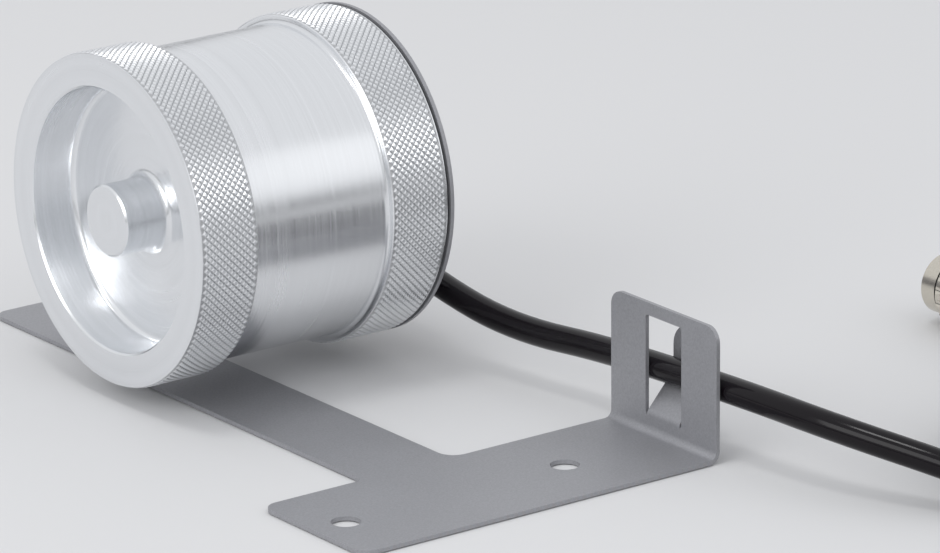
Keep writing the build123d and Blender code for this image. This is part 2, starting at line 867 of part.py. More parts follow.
# Cable outlet on the back of the disc, its screws, seal and gland nut
outlet_reach = outlet_x - plate_back
with BuildPart() as cable_outlet:
    with BuildSketch(outlet_back.offset(gland_length)):
        with Locations(((outlet_wall - outlet_reach) / 2, 0)):
            RectangleRounded(outlet_wall + outlet_reach, outlet_height, outlet_corner_radius)
        with Locations(((outlet_flange / 2 - outlet_reach), -outlet_ear / 2)):
            Rectangle(outlet_flange, outlet_height + outlet_ear)
    extrude(amount=outlet_length)
    with BuildSketch(Plane.YZ.offset(plate_back)):
        with Locations((window[1], window[2])):
            Circle(spigot_radius)
    extrude(amount=-sheet - spigot_depth)
    with BuildSketch(Plane.YZ.offset(plate_back - sheet - spigot_depth)):
        with Locations((window[1], window[2])):
            Circle(wire_bore_radius)
    extrude(amount=outlet_reach + sheet + spigot_depth, mode=Mode.SUBTRACT)
    with BuildSketch(outlet_back.offset(gland_length)):
        Circle(wire_bore_radius)
    extrude(amount=outlet_length / 2, mode=Mode.SUBTRACT)
    with BuildSketch(Plane.YZ.offset(plate_back)):
        with Locations(*[(point[1], point[2]) for point in outlet_screws]):
            Circle(outlet_screw_radius + outlet_screw_fit)
    extrude(amount=outlet_flange, mode=Mode.SUBTRACT)
finish(cable_outlet, "cable_outlet")
with BuildPart() as outlet_fixings:
    with BuildSketch(Plane.YZ.offset(plate_x - cover + outlet_screw_tip)):
        with Locations(*[(point[1], point[2]) for point in outlet_screws]):
            Circle(outlet_screw_radius)
    extrude(amount=plate_back + outlet_flange - plate_x + cover - outlet_screw_tip)
    with BuildSketch(Plane.YZ.offset(plate_back + outlet_flange)):
        with Locations(*[(point[1], point[2]) for point in outlet_screws]):
            Circle(outlet_screw_head_radius)
    extrude(amount=outlet_screw_head)
finish(outlet_fixings, "outlet_screws")
seal_radius = cable_radius + gland_seal_wall
with BuildPart() as gland_nut:
    with BuildSketch(outlet_back):
        RegularPolygon(gland_flats / 2, 6, major_radius=False, rotation=30)
    extrude(amount=gland_length)
    with BuildSketch(outlet_back.offset(gland_lip)):
        Circle(seal_radius + gland_seal_play)
    extrude(amount=gland_length - gland_lip, mode=Mode.SUBTRACT)
    with BuildSketch(outlet_back):
        Circle(cable_radius + cable_play)
    extrude(amount=gland_lip, mode=Mode.SUBTRACT)
finish(gland_nut, "gland_nut")
with BuildPart() as gland_seal:
    with BuildSketch(outlet_back.offset(gland_lip + gland_seal_end_gap)):
        Circle(seal_radius)
        Circle(cable_radius + gland_seal_grip, mode=Mode.SUBTRACT)
    extrude(amount=gland_length - gland_lip - 2 * gland_seal_end_gap)
finish(gland_seal, "gland_seal")

# The cable's route, chosen by hand: from the outlet down to the clip, then out and down to the floor
lead_route = [
    outlet_point(gland_length, 0, outlet_x),
    outlet_point(-lead_run_out, 0, outlet_x),
    (47.6, 42.3, 10.7),
    (clip_x, 22.0, 11.7),
    (clip_x, 0.0, 12.83),
]
cable_route = [
    (clip_x, 0.0, 12.83),
    (clip_x, -18.0, 13.75),
    (54.5, -40.0, 12.4),
    (66.0, -62.0, 7.8),
    (76.0, -74.8, 2.6),
    (90.5, -85.7, 2.6),
]
coil_heading = (0.8, -0.6)
coil_x = cable_route[-1][0] - coil_heading[1] * coil_outer_turn
coil_y = cable_route[-1][1] + coil_heading[0] * coil_outer_turn
top_layer_z = cable_radius * (2 * coil_layers - 1)
coil_exit_x = coil_x + coil_outer_turn * cos(radians(coil_exit_angle))
coil_exit_y = coil_y + coil_outer_turn * sin(radians(coil_exit_angle))
tail_route = [
    (coil_exit_x, coil_exit_y, top_layer_z),
    (coil_exit_x - tail_drop_side, coil_exit_y + tail_drop_run, plug_axis_z),
    (coil_exit_x - tail_level_side, coil_exit_y + tail_level_run, plug_axis_z),
]


def cable_path(route):
    """Arc radii for the route's corners: 0.45 of the shorter run over the tangent of half the turn."""
    radii = []
    for before, corner, after in zip(route, route[1:], route[2:]):
        run_in = Vector(*corner) - Vector(*before)
        run_out = Vector(*after) - Vector(*corner)
        half_turn = radians(run_in.get_angle(run_out)) / 2
        radii.append(0.45 * min(run_in.length, run_out.length) / tan(half_turn))
    return radii


def cable_tube(label, route):
    """A plain round tube along the route, with its length and radii printed."""
    radii = cable_path(route)
    with BuildPart() as piece:
        with BuildLine() as path:
            FilletPolyline(*route, radius=radii)
        start = Vector(*route[1]) - Vector(*route[0])
        with BuildSketch(Plane(origin=route[0], z_dir=start)):
            Circle(cable_radius)
        sweep()
    finish(piece, label)
    length = path.wires()[0].length
    section = pi * cable_radius**2
    print(label, "length", round(length, 1), "radii", [round(value, 1) for value in radii])
    print(label, "volume over section times length", round(piece.part.volume / section / length, 4))
    return piece.part, length


encoder_lead, lead_length = cable_tube("encoder_lead", lead_route)
cable_run, run_length = cable_tube("cable_run", cable_route)
cable_tail, tail_length = cable_tube("cable_tail", tail_route)

# Put-away coil: one closed ring of the outer shape of its turns, which the loose ends run into
entry_angle = degrees(atan2(-coil_heading[0], coil_heading[1]))
coil_turns = coil_whole_turns + (coil_exit_angle - entry_angle) / 360
coil_inner_turn = coil_outer_turn - 2 * cable_radius * coil_turns / coil_layers
coil_length = coil_turns * pi * (coil_inner_turn + coil_outer_turn)
coil_height = 2 * cable_radius * coil_layers
coil_band = coil_outer_turn - coil_inner_turn + 2 * cable_radius
with BuildPart() as cable_coil:
    with BuildSketch(Plane(origin=(coil_x, coil_y, 0), x_dir=(1, 0, 0), z_dir=(0, -1, 0))):
        with Locations(((coil_inner_turn + coil_outer_turn) / 2, coil_height / 2)):
            RectangleRounded(coil_band, coil_height, cable_radius - 0.1)
    revolve(axis=Axis((coil_x, coil_y, 0), (0, 0, 1)))
finish(cable_coil, "cable_coil")

# Round plug at the cable's end: strain relief, grip, contact carrier, pins, and a screw ring that turns
plug_start = Vector(*tail_route[-1])
plug_heading = plug_start - Vector(*tail_route[-2])
plug_heading = Vector(plug_heading.X, plug_heading.Y, 0).normalized()
plug_plane = Plane(origin=plug_start, x_dir=(0, 0, 1), z_dir=plug_heading)
plug_profile = Plane(origin=plug_start, x_dir=plug_heading, z_dir=plug_heading.cross(Vector(0, 0, 1)))
plug_axis = Axis(plug_start, plug_heading)
grip_start = relief_length
grip_end = grip_start + grip_length
nut_start = grip_end + nut_play
nut_end = nut_start + nut_length
thread_end = nut_end + thread_length
core_radius = insert_radius + insert_play
insert_start = thread_end - insert_depth
pins_start = insert_start + insert_floor


def plug_turned(label, outline):
    """A piece turned about the plug's axis from (distance along the plug, radius) points."""
    with BuildPart() as piece:
        with BuildSketch(plug_profile):
            with BuildLine():
                Polyline(*outline, close=True)
            make_face()
        revolve(axis=plug_axis)
    finish(piece, label)


with BuildPart() as plug_relief:
    with BuildSketch(plug_profile):
        with BuildLine():
            Polyline((0, 0), (0, relief_tip), (grip_start, relief_radius), (grip_start, 0), close=True)
        make_face()
        for groove in range(relief_grooves):
            with Locations((relief_length * (groove + 0.8) / (relief_grooves + 0.8), relief_radius)):
                Rectangle(relief_groove_width, 2 * relief_groove_depth, mode=Mode.SUBTRACT)
    revolve(axis=plug_axis)
finish(plug_relief, "plug_strain_relief")
with BuildPart() as plug_grip:
    with BuildSketch(plug_profile) as grip_section:
        with BuildLine():
            Polyline(
                (grip_start, 0),
                (grip_start, grip_neck_radius),
                (grip_start + grip_shoulder, grip_radius),
                (grip_end - grip_step_length, grip_radius),
                (grip_end - grip_step_length, grip_radius - grip_step),
                (grip_end, grip_radius - grip_step),
                (grip_end, core_radius),
                (insert_start, core_radius),
                (insert_start, 0),
                close=True,
            )
        make_face()
        fillet(corners(grip_section, (grip_start + grip_shoulder, grip_radius)), radius=grip_shoulder)
    revolve(axis=plug_axis)
    with BuildSketch(plug_plane.offset(grip_start + flute_start)):
        with PolarLocations(grip_radius, flute_count):
            Circle(flute_radius)
    extrude(amount=grip_length - flute_start - flute_end, mode=Mode.SUBTRACT)
finish(plug_grip, "plug_grip")
with BuildPart() as coupling_nut:
    with BuildSketch(plug_profile) as nut_section:
        with BuildLine():
            Polyline(
                (nut_start, core_radius + nut_play),
                (nut_start, nut_radius),
                (nut_end, nut_radius),
                (nut_end, thread_radius - seal_groove_depth),
                (nut_end + seal_groove_width, thread_radius - seal_groove_depth),
                (nut_end + seal_groove_width, thread_radius),
                (thread_end, thread_radius),
                (thread_end, core_radius + nut_play),
                close=True,
            )
        make_face()
        chamfer(corners(nut_section, (nut_start, nut_radius), (nut_end, nut_radius)), length=nut_chamfer)
        chamfer(corners(nut_section, (thread_end, thread_radius)), length=thread_chamfer)
    revolve(axis=plug_axis)
    with BuildSketch(plug_plane.offset(nut_start)):
        with PolarLocations(nut_radius + nut_groove_out, nut_groove_count):
            Circle(nut_groove_radius)
    extrude(amount=nut_length, mode=Mode.SUBTRACT)
finish(coupling_nut, "coupling_nut")
with BuildPart() as plug_seal_ring:
    with BuildSketch(plug_profile):
        with Locations((nut_end + seal_groove_width / 2, thread_radius - seal_ring_out)):
            Circle(seal_ring_radius - seal_ring_play)
    revolve(axis=plug_axis)
finish(plug_seal_ring, "plug_seal_ring")
with BuildPart() as plug_insert:
    with BuildSketch(plug_plane.offset(insert_start)):
        Circle(insert_radius)
    extrude(amount=insert_floor)
    with BuildSketch(plug_plane.offset(pins_start)):
        Circle(insert_radius)
        Circle(insert_radius - insert_wall, mode=Mode.SUBTRACT)
        with Locations((insert_radius - key_inset, 0)):
            Rectangle(key_length, key_width)
    extrude(amount=tube_length)
finish(plug_insert, "plug_insert")
with BuildPart() as plug_pins:
    with BuildSketch(plug_plane.offset(pins_start)):
        with PolarLocations(pin_circle, pin_count, start_angle=pin_start_angle):
            Circle(pin_radius)
        Circle(pin_radius)
    extrude(amount=pin_length)
    chamfer(plug_pins.edges().filter_by(GeomType.CIRCLE).group_by(SortBy.DISTANCE)[-1], length=pin_chamfer)
finish(plug_pins, "plug_pins")

print("axis height", round(axis_z, 3), "plate", round(plate_x, 2), "to", round(plate_back, 2))
print("coil centre", round(coil_x, 2), round(coil_y, 2), "turns", round(coil_turns, 3))
print("coil turns from", round(coil_outer_turn, 2), "to", round(coil_inner_turn, 2))
print("cable in all", round(lead_length + run_length + tail_length + coil_length, 1), "of", cable_total)
print("tail", [tuple(round(value, 2) for value in point) for point in tail_route])
print("plug heading", plug_heading, "plug length", thread_end)
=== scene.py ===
"""Measuring wheel encoder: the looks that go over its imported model, with floor, light and camera.

Everything is in metres in the model's own frame: +X along the wheel's axis away from its open face,
+Y along the spring arm from the mounting bar to the wheel, and +Z up.
"""
from math import atan2, cos, pi, radians, sin, tau

import bmesh
import bpy
from mathutils import Matrix, Vector


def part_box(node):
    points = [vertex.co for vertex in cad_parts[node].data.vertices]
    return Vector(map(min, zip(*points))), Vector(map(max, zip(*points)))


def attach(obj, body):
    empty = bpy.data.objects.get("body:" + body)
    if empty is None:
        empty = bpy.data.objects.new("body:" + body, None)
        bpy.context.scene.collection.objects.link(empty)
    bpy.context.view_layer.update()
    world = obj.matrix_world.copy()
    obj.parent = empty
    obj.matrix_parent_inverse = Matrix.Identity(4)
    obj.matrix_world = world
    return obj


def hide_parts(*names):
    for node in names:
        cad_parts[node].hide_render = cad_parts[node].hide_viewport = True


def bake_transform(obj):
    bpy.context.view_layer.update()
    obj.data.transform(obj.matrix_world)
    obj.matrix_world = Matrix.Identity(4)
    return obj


bl_info = {
    "name": "Measuring wheel encoder",
    "version": (1, 0, 0),
    "blender": (4, 5, 0),
    "location": "3D View > Sidebar > Encoder",
    "description": "Dresses the packed measuring wheel encoder and sets up its studio view",
    "category": "Object",
}

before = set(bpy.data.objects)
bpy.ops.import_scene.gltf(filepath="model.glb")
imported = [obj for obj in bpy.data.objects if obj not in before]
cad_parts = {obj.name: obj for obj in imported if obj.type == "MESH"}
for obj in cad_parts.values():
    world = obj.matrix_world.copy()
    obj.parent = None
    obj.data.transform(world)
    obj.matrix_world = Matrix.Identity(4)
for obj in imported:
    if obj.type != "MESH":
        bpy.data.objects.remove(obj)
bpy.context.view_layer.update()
MM = 0.001

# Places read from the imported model
wheel_low, wheel_high = (Vector(corner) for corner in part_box("measuring_wheel"))
AXIS = (wheel_low + wheel_high) / 2
WHEEL_FRONT = wheel_low.x
WHEEL_REAR = wheel_high.x
WHEEL_RADIUS = (wheel_high.z - wheel_low.z) / 2

ARM_WIDTH = 19.5 * MM
SHEET = 0.8 * MM
FLOOR_GAP = 0.2 * MM

# Small shapes of the turned wheel
BOSS_CHAMFER = 0.35 * MM
RING_CHAMFER = 0.25 * MM
CHAMFER_SLOPE = 0.75
INNER_EDGE_DROP = 0.2 * MM
DRUM_FILLET = 0.9 * MM
RECESS_FILLET = 1.5 * MM
BOSS_FILLET = 1.6 * MM

# The code disc's graduated track
TRACK_INSIDE = 9.2 * MM
TRACK_OUTSIDE = 11.8 * MM
TRACK_BARS = 250.0

# The camera that was fitted to the photo
SENSOR_WIDTH = 36.0
FOCAL_PIXELS = 6452.8
PHOTO_WIDTH_PIXELS = 940
CAMERA_PLACE = (-649.12, -876.40, 391.71)
CAMERA_RIGHT = (0.80051, -0.59926, -0.00814)
CAMERA_UP = (0.18941, 0.24009, 0.95209)

# Area lamps, all aimed at the wheel: name, place, size, watts
LAMPS = [
    ("front window", (0.42, -0.78, 0.42), (0.80, 0.50), 0.32),
    ("roof window", (-0.20, 0.0, 0.95), (0.26, 0.18), 1.1),
    ("side window", (-1.30, -0.20, 0.80), (1.00, 0.80), 5.5),
]

# The studio's sky: height of the view from 0 (level) to 1 (straight up), and its colour there
SKY = [
    (0.0, (0.10, 0.10, 0.11, 1.0)),
    (0.04, (0.16, 0.16, 0.17, 1.0)),
    (0.09, (0.66, 0.67, 0.69, 1.0)),
    (0.30, (0.78, 0.79, 0.81, 1.0)),
    (0.90, (0.80, 0.81, 0.83, 1.0)),
]

# The cable's route, the same points as in the part's source
LEAD_ROUTE = [
    (45.2, 78.369, 16.947),
    (45.2, 60.273, 13.101),
    (47.6, 42.3, 10.7),
    (51.15, 22.0, 11.7),
]
FLOOR_ROUTE = [
    (51.15, -18.0, 13.75),
    (54.5, -40.0, 12.4),
    (66.0, -62.0, 7.8),
    (76.0, -74.8, 2.6),
]
COIL_ENTRY = (90.5, -85.7)
COIL_HEADING = (0.8, -0.6)
COIL_OUTER_TURN = 31.7
COIL_LAYERS = 4
COIL_WHOLE_TURNS = 7
COIL_EXIT_ANGLE = 8.0
CLIMB_TURNS = 0.2
TAIL_RUNS = [(-3.7, 17.6), (-4.1, 35.8)]
PLUG_AXIS_Z = 7.3


def mm(point):
    """A point given in millimetres, in metres."""
    return tuple(value * MM for value in point)



class WheelSizes(bpy.types.PropertyGroup):
    ring_width: bpy.props.FloatProperty(
        name="Ring width", description="Width of each knurled ring", default=12.5 * MM, unit="LENGTH"
    )
    drum_radius: bpy.props.FloatProperty(
        name="Drum radius", description="Radius between the two rings", default=30.05 * MM, unit="LENGTH"
    )
    bore_radius: bpy.props.FloatProperty(
        name="Bore radius", description="Hollow that takes the encoder", default=27.6 * MM, unit="LENGTH"
    )
    recess_radius: bpy.props.FloatProperty(
        name="Recess radius", description="Radius of the front recess", default=25.25 * MM, unit="LENGTH"
    )
    recess_depth: bpy.props.FloatProperty(
        name="Recess depth", description="Depth of the front recess", default=9.5 * MM, unit="LENGTH"
    )
    web: bpy.props.FloatProperty(
        name="Web", description="Thickness behind the recess", default=3.5 * MM, unit="LENGTH"
    )
    boss_radius: bpy.props.FloatProperty(
        name="Boss radius", description="Radius of the boss on the shaft", default=6.85 * MM, unit="LENGTH"
    )
    seat_radius: bpy.props.FloatProperty(
        name="Seat radius", description="Radius of the shaft's seat", default=4.0 * MM, unit="LENGTH"
    )
    seat_length: bpy.props.FloatProperty(
        name="Seat length", description="Depth of the shaft's seat", default=10.3 * MM, unit="LENGTH"
    )
    knurl_columns: bpy.props.IntProperty(
        name="Knurl columns", description="Diamonds round each ring", default=141, min=24
    )
    knurl_rows: bpy.props.IntProperty(
        name="Knurl rows", description="Half diamonds across each ring", default=17, min=4
    )
    knurl_depth: bpy.props.FloatProperty(
        name="Knurl depth", description="Depth of the knurl's grooves", default=0.26 * MM, unit="LENGTH"
    )
    knurl_flat: bpy.props.FloatProperty(
        name="Knurl flat",
        description="Share of a diamond that its flat top takes",
        default=0.42,
        min=0.1,
        max=0.8,
    )


class CableSizes(bpy.types.PropertyGroup):
    radius: bpy.props.FloatProperty(
        name="Cable radius", description="Radius of the round cable", default=2.6 * MM, unit="LENGTH"
    )
    length: bpy.props.FloatProperty(
        name="Cable length", description="Length from the outlet to the plug", default=1.46, unit="LENGTH"
    )
    sides: bpy.props.IntProperty(name="Sides", description="Facets round the cable", default=24, min=8)
    points_a_turn: bpy.props.IntProperty(
        name="Points a turn", description="Control points in each turn of the coil", default=16, min=12
    )


class Finishes(bpy.types.PropertyGroup):
    sheet: bpy.props.FloatVectorProperty(
        name="Sheet", description="Blasted spring steel", subtype="COLOR", default=(0.385, 0.387, 0.407)
    )
    wheel: bpy.props.FloatVectorProperty(
        name="Wheel", description="Turned aluminium", subtype="COLOR", default=(0.870, 0.883, 0.901)
    )
    cable: bpy.props.FloatVectorProperty(
        name="Cable", description="Black jacket", subtype="COLOR", default=(0.0040, 0.0026, 0.0040)
    )
    floor: bpy.props.FloatVectorProperty(
        name="Floor", description="Pale studio floor", subtype="COLOR", default=(0.72, 0.72, 0.725)
    )


# Outputs of the Texture Coordinate node
SKY_DIRECTION = 0
OBJECT_POINT = 3


class Value:
    """A number in a shader: Python's operators on it add Math nodes."""

    def __init__(self, finish, socket):
        self.finish = finish
        self.socket = socket

    def math(self, operation, *others):
        numbers = {0: self}
        numbers.update(enumerate(others, 1))
        return self.finish.node("ShaderNodeMath", {"operation": operation}, numbers)[0]

    def __add__(self, other):
        return self.math("ADD", other)

    __radd__ = __add__

    def __sub__(self, other):
        return self.math("SUBTRACT", other)

    def __rsub__(self, other):
        return self.math("MULTIPLY_ADD", -1.0, other)

    def __mul__(self, other):
        return self.math("MULTIPLY", other)

    __rmul__ = __mul__

    def __truediv__(self, other):
        return self.math("DIVIDE", other)

    def sine(self):
        return self.math("SINE")

    def power(self, exponent):
        return self.math("POWER", exponent)

    def at_least(self, other):
        return self.math("MAXIMUM", other)

    def above(self, other):
        return self.math("GREATER_THAN", other)


class Nodes:
    """The nodes of a material or of the studio's sky."""

    def __init__(self, owner, shader):
        owner.use_nodes = True
        self.tree = owner.node_tree
        self.shader = self.tree.nodes[shader]

    def set(self, socket, value):
        """Give one of the shader's sockets a number, a colour or a link."""
        if isinstance(value, Value):
            self.tree.links.new(value.socket, self.shader.inputs[socket])
        else:
            self.shader.inputs[socket].default_value = value

    def node(self, kind, settings=None, inputs=None):
        """Add a node with its settings, a ramp's stops among them, and sockets. Gives its outputs."""
        node = self.tree.nodes.new(kind)
        for key, value in (settings or {}).items():
            if key == "stops":
                ramp = node.color_ramp.elements
                ramp[1].position = 1.0
                for place, colour in value[1:-1]:
                    ramp.new(place).color = colour
                ramp[0].color = value[0][1]
                ramp[-1].position, ramp[-1].color = value[-1]
            else:
                setattr(node, key, value)
        for key, value in (inputs or {}).items():
            if isinstance(value, Value):
                self.tree.links.new(value.socket, node.inputs[key])
            else:
                node.inputs[key].default_value = value
        return [Value(self, socket) for socket in node.outputs if socket.enabled]


class Finish(Nodes):
    """A material with one Principled shader."""

    def __init__(self, name, colour, roughness, metallic=0.0, **constants):
        self.material = bpy.data.materials.new(name)
        super().__init__(self.material, "Principled BSDF")
        self.set("Base Color", (*colour, 1.0))
        self.set("Roughness", roughness)
        self.set("Metallic", metallic)
        for socket, value in constants.items():
            self.set(socket.replace("_", " "), value)

    def place(self):
        """The surface point in metres, as a vector and as its three numbers."""
        point = self.node("ShaderNodeTexCoord")[OBJECT_POINT]
        return point, self.node("ShaderNodeSeparateXYZ", inputs={0: point})

    def noise(self, point, waves, detail=2.0):
        """Smooth noise from 0 to 1, with this many waves to the metre."""
        sockets = {"Vector": point, "Scale": waves, "Detail": detail}
        return self.node("ShaderNodeTexNoise", inputs=sockets)[0]

    def bump(self, height, depth):
        """Raise the surface by the height times the depth, in metres."""
        bumped = {"Height": height, "Strength": 1.0, "Distance": depth}
        self.set("Normal", self.node("ShaderNodeBump", inputs=bumped)[0])

    def shade(self, mask, low, high):
        """A colour between two colours, by a mask from 0 to 1."""
        return self.node(
            "ShaderNodeMix",
            {"data_type": "RGBA"},
            {"Factor": mask, "A": (*low, 1.0), "B": (*high, 1.0)},
        )[0]



def axis_distance(y, z):
    """Distance of a shader's point from the wheel's axis."""
    return ((y - AXIS.y).power(2.0) + (z - AXIS.z).power(2.0)).power(0.5)


def tint(colour, factor):
    """The colour made lighter or darker."""
    return tuple(min(1.0, channel * factor) for channel in colour)


def blasted_sheet(colour):
    """Spring steel with the fine, even grain of bead blasting."""
    finish = Finish("Blasted spring steel", colour, 0.5, 0.62)
    point, _ = finish.place()
    grain = finish.noise(point, waves=2800.0, detail=3.0)
    cloud = finish.noise(point, waves=60.0)
    mix = (grain - 0.5) * 1.6 + cloud * 0.3 + 0.35
    finish.set("Base Color", finish.shade(mix, tint(colour, 0.86), tint(colour, 1.14)))
    finish.set("Roughness", cloud * 0.10 + grain * 0.08 + 0.42)
    finish.bump(grain, 0.025 * MM)
    return finish.material


def turned_aluminium(colour):
    """Bright aluminium with fine lathe lines: rings on the faces and round the drum."""
    finish = Finish("Turned aluminium", colour, 0.2, 1.0)
    point, (x, y, z) = finish.place()
    radius = axis_distance(y, z)
    profile = finish.node("ShaderNodeCombineXYZ", inputs={0: x, 1: radius, 2: 0.0})[0]
    fine = finish.noise(profile, waves=2600.0, detail=3.0)
    broad = finish.noise(profile, waves=520.0)
    patch = finish.noise(point, waves=55.0)
    streak = fine * 0.5 + broad * 0.35 + patch * 0.15
    finish.set("Base Color", finish.shade(streak, tint(colour, 0.84), tint(colour, 1.11)))
    finish.set("Roughness", fine * 0.12 + broad * 0.10 + patch * 0.10 + 0.08)
    finish.bump(fine + broad * 1.4, 0.018 * MM)
    return finish.material


def knurled_aluminium(colour, depth):
    """The knurled rings: the same metal, a little rougher in the grooves of this depth, with painted shade
    that darkens the grooves.
    """
    finish = Finish("Knurled aluminium", colour, 0.34, 1.0)
    point, (_, y, z) = finish.place()
    scuff = finish.noise(point, waves=1400.0, detail=3.0)
    groove = (WHEEL_RADIUS - axis_distance(y, z)) / depth
    finish.set("Roughness", scuff * 0.16 + groove * 0.12 + 0.23)
    # Painted shade: the colour darkens with depth into the knurl's grooves and is a little lighter on the
    # flat tops, mixed with random scuff tone.
    scuff_and_painted_groove_shade = (scuff * 0.3 + groove * 0.8).at_least(0.0)
    finish.set("Base Color", finish.shade(scuff_and_painted_groove_shade, tint(colour, 1.06), tint(colour, 0.62)))
    finish.bump(scuff, 0.01 * MM)
    return finish.material


def plain_metal(name, colour, roughness):
    """A machined or plated metal with faint tool marks."""
    finish = Finish(name, colour, roughness, 1.0)
    point, _ = finish.place()
    marks = finish.noise(point, waves=2400.0, detail=3.0)
    finish.set("Base Color", finish.shade(marks, tint(colour, 0.88), tint(colour, 1.08)))
    finish.set("Roughness", marks * 0.14 + (roughness - 0.06))
    finish.bump(marks, 0.008 * MM)
    return finish.material


def moulded(name, colour, roughness, grain=1800.0):
    """Moulded plastic or rubber with a fine eroded grain."""
    finish = Finish(name, colour, roughness)
    point, _ = finish.place()
    pits = finish.noise(point, waves=grain, detail=4.0)
    finish.set("Base Color", finish.shade(pits, tint(colour, 0.75), tint(colour, 1.3)))
    finish.set("Roughness", pits * 0.16 + (roughness - 0.07))
    finish.bump(pits, 0.02 * MM)
    return finish.material


def cable_jacket(colour):
    """Smooth black jacket with a soft gloss and slight waviness."""
    finish = Finish("Cable jacket", colour, 0.30, Specular_IOR_Level=0.26)
    point, _ = finish.place()
    fine = finish.noise(point, waves=1500.0, detail=3.0)
    slow = finish.noise(point, waves=120.0)
    finish.set("Base Color", finish.shade(slow, tint(colour, 0.8), tint(colour, 1.5)))
    finish.set("Roughness", fine * 0.06 + slow * 0.10 + 0.05)
    finish.bump(fine, 0.005 * MM)
    return finish.material


def code_glass(colour):
    """Glass disc with its ring of fine dark bars."""
    finish = Finish("Code disc", colour, 0.08, Alpha=0.55)
    _, (_, y, z) = finish.place()
    radius = axis_distance(y, z)
    turn = (z - AXIS.z).math("ARCTAN2", y - AXIS.y)
    bars = (turn * TRACK_BARS).sine().above(0.0)
    track = radius.above(TRACK_INSIDE) * (1 - radius.above(TRACK_OUTSIDE))
    mask = bars * track
    finish.set("Base Color", finish.shade(mask, colour, (0.02, 0.02, 0.02)))
    finish.set("Alpha", mask * 0.45 + 0.5)
    return finish.material


def circuit_board(colour):
    """Green lacquered board with faint copper tracks under the lacquer."""
    finish = Finish("Circuit board", colour, 0.32)
    point, _ = finish.place()
    cells = finish.node(
        "ShaderNodeTexVoronoi",
        {"distance": "MANHATTAN", "feature": "F1"},
        {"Vector": point, "Scale": 420.0},
    )[0]
    finish.set("Base Color", finish.shade(cells, tint(colour, 0.7), tint(colour, 1.7)))
    finish.bump(cells, 0.02 * MM)
    return finish.material


def smooth_by_angle(mesh, angle=32.0):
    """Smooth shading with sharp edges above an angle, in degrees."""
    mesh.shade_smooth()
    mesh.set_sharp_from_angle(angle=radians(angle))


def place_new(name, data):
    """A new object in the scene, of a mesh, a lamp or a camera."""
    thing = bpy.data.objects.new(name, data)
    bpy.context.scene.collection.objects.link(thing)
    return thing


def finished(mesh, name):
    """Turn a bmesh into a mesh with this name."""
    result = bpy.data.meshes.new(name)
    mesh.to_mesh(result)
    mesh.free()
    return result


def dress(material, *nodes):
    """Give CAD nodes a material."""
    for node in nodes:
        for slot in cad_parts[node].material_slots:
            slot.material = material


def arc(centre, radius, start, end, steps=6):
    """Points of an arc in the profile plane, angles in degrees."""
    turns = (radians(start + (end - start) * step / steps) for step in range(steps + 1))
    return [(centre[0] + radius * cos(turn), centre[1] + radius * sin(turn)) for turn in turns]


